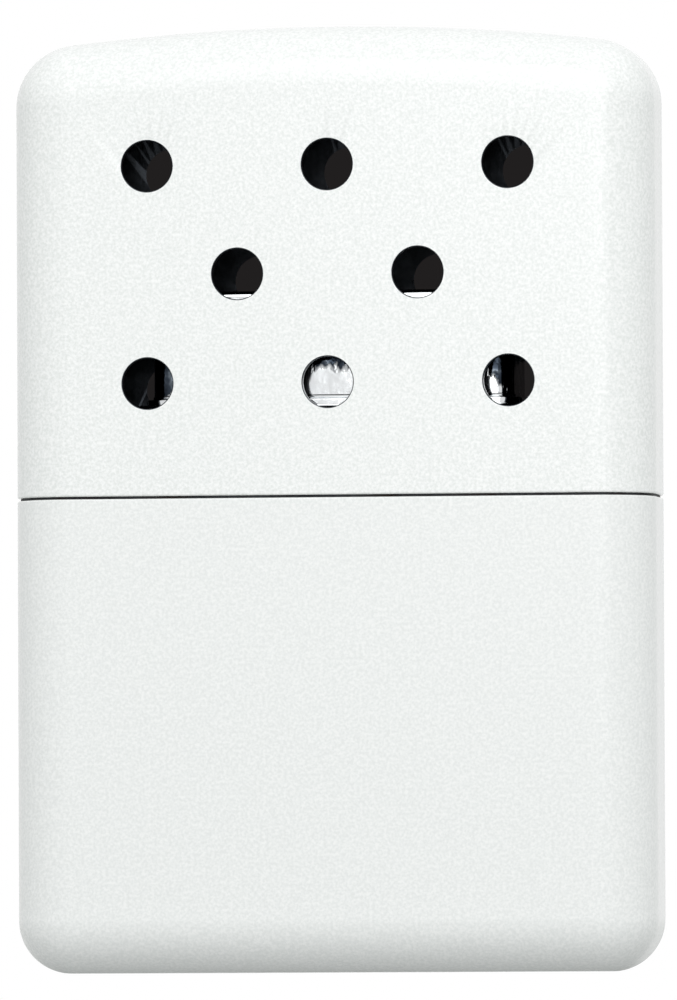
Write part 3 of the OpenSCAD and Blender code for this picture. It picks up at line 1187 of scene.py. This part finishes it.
@dataclass(frozen=True)
class Strands:
    """Loose fibres on a soft piece's top, each a thin three-sided tube that wanders."""

    count: int
    length: float
    thickness: float
    seed: int
    shapes: int = 12
    bends: int = 6
    sway: float = 0.5
    # How far a fibre near an edge may turn from X, in radians, so that none sticks out
    edge_swing: float = 0.2

    def lay(self, bm: BMesh, low: Vector, high: Vector) -> None:
        """Lays them in a layer.

        Args:
            bm: The mesh that they are added to.
            low: The layer's lowest corner.
            high: Its highest corner.
        """
        rng = random.Random(self.seed)
        margin = self.length / 2
        for _ in range(self.shapes):
            places = []
            for _ in range(self.count // self.shapes):
                x = rng.uniform(low.x + margin, high.x - margin)
                middle = Vector((x, rng.uniform(low.y, high.y), rng.uniform(low.z, high.z)))
                inside = low.y + margin < middle.y < high.y - margin
                swing = math.pi / 2 if inside else self.edge_swing
                heading = rng.uniform(-swing, swing)
                places.append(Matrix.Translation(middle) @ Matrix.Rotation(heading, 4, "Z"))
            stamp(bm, tube(self.thickness / 2, 3, self.length / 2, self.wander(rng)), places)

    def wander(self, rng: random.Random) -> Iterable[tuple[float, float, float]]:
        """Gives one fibre's steps along X.

        Args:
            rng: Where its random bends come from.

        Yields:
            Each step, as a vector.
        """
        step = self.length / self.bends
        heading = 0.0
        for _ in range(self.bends):
            heading = rng.uniform(-self.sway, self.sway) - heading / 2
            yield step, step * math.tan(heading), 0.0


@dataclass
class TankFilling:
    """The cotton that holds the fuel, and the felt that closes the neck."""

    sizes: CaseSizes
    palette: Palette
    play: float = 0.15
    # A pad's upright edges are rounder than its others by this much, so that its flat ends stay flat
    corner_slack: float = 10 * WELD
    pad: SoftMake = SoftMake(0.5, 1.4, coarse=7.0, coarse_depth=0.55, fine=1.8, fine_depth=0.22, fill=0.5)
    felt: SoftMake = SoftMake(0.2, 0.5, coarse=2.5, coarse_depth=0.12, fine=0.7, fine_depth=0.05, fill=0.9)
    felt_seed: float = 9.0
    felt_strands: Strands = Strands(count=160, length=2.4, thickness=0.05, seed=5)

    def build(self) -> None:
        """Draws the four pads and the felt."""
        for number, place in enumerate(("front", "middle", "back", "top")):
            self.build_pad(place, number + 1.0)
        self.build_felt()

    def build_pad(self, place: str, seed: float) -> None:
        """Draws a cotton pad that fills its CAD solid's space.

        Args:
            place: Its place, as in its name.
            seed: Sets its lumps apart from the others'.
        """
        node = f"wadding_{place}"
        low, high = box_mm(node)
        size, middle = high - low, (high + low) / 2
        corner_r = self.pad.edge_r + self.corner_slack
        plan = RoundPlan(size.x / 2 - corner_r, size.y / 2 - corner_r, (middle.x, middle.y), steps=6)
        bm = self.pad.block(plan, corner_r, low.z, high.z)
        self.keep_in_tank(bm)
        self.pad.press(bm, seed)
        finish(bm, f"cotton_{place}", Body.TANK, Slot.COTTON, node, self.palette.cotton, fill=self.pad.fill)

    def keep_in_tank(self, bm: BMesh) -> None:
        """Presses a pad's points in from the tank's rolled edges and foot.

        Args:
            bm: The mesh.
        """
        s = self.sizes
        reach = s.edge_r - s.wall - self.play
        foot_reach = s.foot_r - s.wall - self.play
        for vert in bm.verts:
            core = s.core(vert.co, vert.co.z, vert.co.z)
            out = vert.co - core
            limit = reach
            if vert.co.z < s.foot_r:
                drop = min(s.foot_r - vert.co.z, foot_reach)
                limit = reach - foot_reach + math.sqrt(foot_reach**2 - drop**2)
            if out.length > limit:
                vert.co = core + out.normalized() * limit

    def build_felt(self) -> None:
        """Draws the felt plug with loose fibres on its top."""
        low, high = box_mm("mouth_felt")
        radius = (high.y - low.y) / 2
        plan = RoundPlan((high.x - low.x) / 2 - radius, 0.0, steps=10)
        bm = self.felt.block(plan, radius, low.z, high.z)
        self.felt.press(bm, self.felt_seed)
        depth = 2 * self.felt_strands.thickness
        layer_low = Vector((low.x + radius, low.y + 2 * depth, high.z - depth))
        layer_high = Vector((high.x - radius, high.y - 2 * depth, high.z - depth / 2))
        self.felt_strands.lay(bm, layer_low, layer_high)
        finish(bm, "felt_plug", Body.TANK, Slot.FELT, "mouth_felt", self.palette.felt, fill=self.felt.fill)


# ---- the burner ----


@dataclass
class Burner:
    """The plug-on burner: a plated box with a slotted top, its grip plate, tray, mat and screen."""

    palette: Palette
    sheet: float = 0.4
    corner_r: float = 1.6
    top_r: float = 0.5
    edge_break: float = 0.1
    # A narrow hem turned out round the foot
    hem_h: float = 0.3
    hem_out: float = 0.08
    slot_count: int = 6
    slot_w: float = 3.0
    slot_t: float = 2.6
    slot_pitch: float = 4.1
    slot_row_y: float = 1.8
    slot_corner_r: float = 0.35
    slot_lip_r: float = 0.14
    grip_oval_r: float = 3.45
    grip_oval_half_x: float = 7.7
    tray_h: float = 0.4
    hole_d: float = 1.5
    hole_columns: int = 9
    hole_rows: int = 3
    hole_pitch_x: float = 2.7
    hole_pitch_y: float = 2.3
    wire_d: float = 0.15
    wire_pitch: float = 0.7
    wire_steps: int = 4
    wire_sides: int = 6
    mat: SoftMake = SoftMake(0.16, 0.5, coarse=1.8, coarse_depth=0.16, fine=0.5, fine_depth=0.08, fill=0.7)
    mat_seed: float = 4.0
    mat_strands: Strands = Strands(count=420, length=2.2, thickness=0.045, seed=11)

    def build(self) -> None:
        """Draws the burner's five pieces and dresses them."""
        self.build_box()
        self.build_grip()
        self.build_tray()
        self.build_mat()
        self.build_screen()

    @property
    def corners(self) -> RoundPlan:
        """The plan that the burner's sheet pieces share."""
        high = box_mm("burner_body")[1]
        return RoundPlan(high.x - self.corner_r, high.y - self.corner_r, steps=10)

    def build_box(self) -> None:
        """Draws the box with two rows of slots through its top."""
        low, high = box_mm("burner_body")
        reach, bore = self.corner_r, self.corner_r - self.sheet
        top, under, cut = high.z, high.z - self.sheet, self.edge_break
        flat, roll_z = reach - self.top_r, top - self.top_r
        hem, hem_z = reach + self.hem_out, low.z + self.hem_h
        bm = bmesh.new()
        self.corners.sweep(
            bm,
            (flat, top),
            Arc((flat, roll_z), -90, 10), Line((reach, hem_z)),
            Line((hem, hem_z - self.hem_out)), Line((hem, low.z + cut)),
            Arc((hem - cut, low.z + cut), -90, 3), Line((bore, low.z)), Line((bore, roll_z)),
            Arc((flat, roll_z), 90),
        )
        lip, corner = self.slot_lip_r, self.slot_corner_r
        slot = bmesh.new()
        plan = RoundPlan(self.slot_w / 2 - corner, self.slot_t / 2 - corner, steps=4)
        plan.sweep(slot, (corner + lip, top), Arc((corner + lip, top - lip), 90, 3), Line((corner, under)))
        columns = [number * self.slot_pitch for number in places_about_middle(self.slot_count)]
        rows = (-self.slot_row_y, self.slot_row_y)
        stamp(bm, slot, [Matrix.Translation((x, y, 0)) for x in columns for y in rows])
        close_flat(bm, Axis.Z, top, under)
        looks = self.palette.dark_banded_plating
        finish(bm, "plated_burner", Body.BURNER, Slot.PLATING, "burner_body", looks)

    def build_grip(self) -> None:
        """Draws the plate across the foot whose oval hole grips the neck."""
        low, high = box_mm("burner_socket_plate")
        reach, cut = self.corner_r - self.sheet, self.edge_break
        bm = bmesh.new()
        # The rim is broken outwards, and the hole's edge inwards
        hole = RoundPlan(self.grip_oval_half_x, 0.0, steps=16)
        for plan, edge, turned in ((self.corners, reach, -90), (hole, self.grip_oval_r, 90)):
            inset = math.copysign(cut, turned)
            plan.sweep(
                bm,
                (edge + inset, high.z),
                Arc((edge + inset, high.z - cut), turned, 2), Line((edge, low.z + cut)),
                Arc((edge + inset, low.z + cut), turned, 2),
            )
        close_flat(bm, Axis.Z, high.z, low.z)
        finish(bm, "plated_grip", Body.BURNER, Slot.PLATING, "burner_socket_plate", self.palette.plating)

    def build_tray(self) -> None:
        """Draws the perforated tray with its lip turned down."""
        low, high = box_mm("mat_tray")
        reach, cut = self.corner_r - self.sheet, self.edge_break
        bore = reach - self.sheet
        under = high.z - self.tray_h
        bm = bmesh.new()
        self.corners.sweep(
            bm,
            (reach - cut, high.z),
            Arc((reach - cut, high.z - cut), -90, 2), Line((reach, low.z)), Line((bore, low.z)),
            Line((bore, under)),
        )
        radius = self.hole_d / 2
        hole = bmesh.new()
        lip = Arc((radius + cut, high.z - cut), 90, 2)
        RoundPlan(0.0, 0.0, steps=6).sweep(hole, (radius + cut, high.z), lip, Line((radius, under)))
        columns = [number * self.hole_pitch_x for number in places_about_middle(self.hole_columns)]
        rows = [number * self.hole_pitch_y for number in places_about_middle(self.hole_rows)]
        stamp(bm, hole, [Matrix.Translation((x, y, 0)) for x in columns for y in rows])
        close_flat(bm, Axis.Z, high.z, under)
        finish(bm, "perforated_tray", Body.BURNER, Slot.PLATING, "mat_tray", self.palette.plating)

    def build_mat(self) -> None:
        """Draws the glass-fibre mat with loose fibres on its top."""
        low, high = box_mm("catalyst_mat")
        reach = self.corner_r - self.sheet
        bm = self.mat.block(RoundPlan(high.x - reach, high.y - reach, steps=8), reach, low.z, high.z)
        self.mat.press(bm, self.mat_seed)
        depth = 2 * self.mat_strands.thickness
        layer_low = Vector((low.x + depth, low.y + reach, high.z - 2 * depth))
        layer_high = Vector((high.x - depth, high.y - reach, high.z - depth / 2))
        self.mat_strands.lay(bm, layer_low, layer_high)
        looks = self.palette.glass_wool
        finish(bm, "fibre_mat", Body.BURNER, Slot.GLASS_FIBRE, "catalyst_mat", looks, fill=self.mat.fill)

    def build_screen(self) -> None:
        """Weaves the wire screen: each wire passes over and under the ones that cross it."""
        low, high = box_mm("mat_screen")
        columns = int((high.x - low.x) / self.wire_pitch)
        rows = int((high.y - low.y) / self.wire_pitch)
        middle = Matrix.Translation((0, 0, (low.z + high.z) / 2))
        turned_over = Matrix.Rotation(math.pi, 4, "X")
        across = Matrix.Rotation(math.pi / 2, 4, "Z") @ turned_over
        bm = bmesh.new()
        for crossings, wires, lay in ((columns, rows, Matrix.Identity(4)), (rows, columns, across)):
            places = []
            for number, place in enumerate(places_about_middle(wires)):
                side = turned_over if number % 2 else Matrix.Identity(4)
                places.append(middle @ lay @ Matrix.Translation((0, place * self.wire_pitch, 0)) @ side)
            stamp(bm, self.waved_wire(crossings), places)
        finish(bm, "woven_screen", Body.BURNER, Slot.WIRE, "mat_screen", self.palette.wire)

    def waved_wire(self, crossings: int) -> BMesh:
        """Draws one wire of the screen along X, which starts over the first wire that crosses it.

        Args:
            crossings: How many wires cross it.

        Returns:
            The mesh.
        """
        count = crossings * self.wire_steps
        radius = self.wire_d / 2
        run = self.wire_pitch / self.wire_steps
        heights = [radius * math.sin(math.pi * (number / self.wire_steps)) for number in range(count + 1)]
        steps = [(run, 0.0, after - before) for before, after in zip(heights, heights[1:])]
        return tube(radius, self.wire_sides, run * count / 2, steps)


# ---- the studio ----


def direction(azimuth: float, elevation: float) -> Vector:
    """Gives the way from the object to a camera or lamp at these angles, in degrees."""
    a, e = math.radians(azimuth), math.radians(elevation)
    return Vector((math.sin(a) * math.cos(e), -math.cos(a) * math.cos(e), math.sin(e)))


@dataclass(frozen=True)
class SoftBox:
    """A soft lamp that looks at the object. Azimuth 0 is in front of it and 90 to its right."""

    name: str
    azimuth: float
    elevation: float
    distance: float
    width: float
    height: float
    watts: float
    mirrored: bool = True

    def build(self, target: Vector) -> None:
        """Hangs the lamp and aims it.

        Args:
            target: The point that it looks at, in metres.
        """
        lamp = bpy.data.lights.new(self.name, "AREA")
        lamp.shape = "RECTANGLE"
        lamp.size = self.width
        lamp.size_y = self.height
        lamp.energy = self.watts
        box = bpy.data.objects.new(self.name, lamp)
        back = direction(self.azimuth, self.elevation)
        box.location = target + back * self.distance
        box.rotation_euler = (-back).to_track_quat("-Z", "Y").to_euler()
        box.visible_camera = False
        box.visible_glossy = self.mirrored
        bpy.context.scene.collection.objects.link(box)


@dataclass
class Studio:
    """The floor, the light and the camera round the object."""

    sizes: CaseSizes
    lid: CaseLid
    # The photograph was taken a little from the right and from just below
    azimuth: float = 8.2
    elevation: float = -2.0
    # The object leans this much to the left in the picture, in degrees
    roll: float = 0.235
    camera_distance: float = 1.15
    # Height that the picture spans at the object, in millimetres
    picture_height: float = 78.86
    aim_right: float = -0.145
    aim_up: float = -0.005
    clip_end: float = 50.0
    # The floor's side, and how far the foot sinks into its paper, in millimetres
    floor_size: float = 800.0
    floor_rise: float = 0.02
    # The cards of painted shade hang inside the lid, this far in front of its rear wall
    card_gap: float = 0.02
    sky: Stops = ((0.4, "#B0B2B1"), (0.5, "#EAECEB"), (1.0, "#D6D7D7"))
    background_hex: str = "#FFFFFF"
    soft_boxes: tuple[SoftBox, ...] = (
        SoftBox("key_box", 11, 28, 0.42, 0.30, 0.40, 0.85),
        SoftBox("back_box", 176, 8, 0.70, 0.60, 0.50, 1.6, mirrored=False),
    )

    def build(self) -> None:
        """Sets the whole studio up."""
        self.lay_floor()
        self.hang_shade_cards()
        self.light()
        self.set_camera()
        bpy.context.scene.view_settings.view_transform = "Standard"

    def lay_floor(self) -> None:
        """Lays the paper. It takes the object's shadow, and the ground's light passes through it."""
        bm = bmesh.new()
        bmesh.ops.create_grid(bm, x_segments=1, y_segments=1, size=self.floor_size / 2)
        bmesh.ops.translate(bm, vec=(0, 0, self.floor_rise), verts=bm.verts[:])
        self.set_stage("floor", bm, StudioPaper().build())

    def hang_shade_cards(self) -> None:
        """Hangs a round card of painted shade over every rear vent. They move with the lid."""
        bm = bmesh.new()
        facing_front = Matrix.Rotation(math.pi / 2, 4, "X")
        lid = self.lid
        behind = self.sizes.thickness / 2 - self.sizes.wall - self.card_gap
        for x, z in lid.vent_places():
            place = Matrix.Translation((x, behind, z)) @ facing_front
            radius = lid.vent_d / 2 + lid.vent_burr_r
            bmesh.ops.create_circle(bm, cap_ends=True, segments=lid.vent_steps, radius=radius, matrix=place)
        cards = self.set_stage("vent_shade_cards", bm, PaintedShadeCard().build())
        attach(cards, Body.LID.value)

    def set_stage(self, name: str, bm: BMesh, material: Material) -> Object:
        """Puts a stage piece into the scene, where it neither lights nor shades the object.

        Args:
            name: Its name.
            bm: Its mesh in millimetres. It is freed.
            material: Its material.

        Returns:
            Its object.
        """
        bmesh.ops.scale(bm, vec=(MM, MM, MM), verts=bm.verts[:])
        piece = to_object(bm, name, material)
        piece.visible_diffuse = False
        piece.visible_shadow = False
        return piece

    def light(self) -> None:
        """Hangs the lamps, and sets a world that is white to look at and softer as light."""
        target = Vector((0, 0, self.sizes.top * MM / 2))
        for box in self.soft_boxes:
            box.build(target)
        world = bpy.data.worlds.new("studio")
        bpy.context.scene.world = world
        world.use_nodes = True
        tree = world.node_tree
        tree.nodes.clear()
        rays = add_node(tree, "LightPath")
        seen = rays.outputs["Is Camera Ray"]
        for ray in ("Is Glossy Ray", "Is Transmission Ray"):
            seen = add_node(tree, "Math", {0: seen, 1: rays.outputs[ray]}, operation="MAXIMUM")
        way = add_node(tree, "TexCoord").outputs["Generated"]
        height = add_node(tree, "SeparateXYZ", {"Vector": way}).outputs["Z"]
        level = add_node(tree, "MapRange", {"Value": height, "From Min": -1.0})
        soft = add_node(tree, "Background", {"Color": add_node(tree, "ValToRGB", {"Fac": level}, self.sky)})
        white = add_node(tree, "Background", {"Color": linear(self.background_hex)})
        mix = add_node(tree, "MixShader", {0: seen, 1: soft, 2: white})
        add_node(tree, "OutputWorld", {"Surface": mix})

    def set_camera(self) -> None:
        """Sets the camera at the photograph's angle, far off and with a long lens."""
        camera = bpy.data.cameras.new("camera")
        rig = bpy.data.objects.new("camera", camera)
        back = direction(self.azimuth, self.elevation)
        turned = (-back).to_track_quat("-Z", "Y") @ Quaternion((0, 0, 1), -math.radians(self.roll))
        right, up = turned @ Vector((1, 0, 0)), turned @ Vector((0, 1, 0))
        middle = Vector((0, 0, self.sizes.top * MM / 2))
        aim = middle + (self.aim_right * right + self.aim_up * up) * MM
        rig.location = aim + back * self.camera_distance
        rig.rotation_euler = turned.to_euler()
        camera.lens = camera.sensor_width * self.camera_distance / (self.picture_height * MM)
        camera.clip_end = self.clip_end
        bpy.context.scene.collection.objects.link(rig)
        bpy.context.scene.camera = rig


def main() -> None:
    """Builds every sub-assembly in order, then the studio."""
    logging.basicConfig(level=logging.INFO, format="%(message)s")
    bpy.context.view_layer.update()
    palette = Palette()
    sizes = CaseSizes.measured()
    lid = CaseLid(sizes, palette)
    for part in (
        CaseBase(sizes, palette),
        TankTop(sizes, palette),
        TankFilling(sizes, palette),
        Burner(palette),
        lid,
    ):
        part.build()
        LOG.info("%s is built", type(part).__name__)
    Studio(sizes, lid).build()


if __name__ == "__main__":
    main()
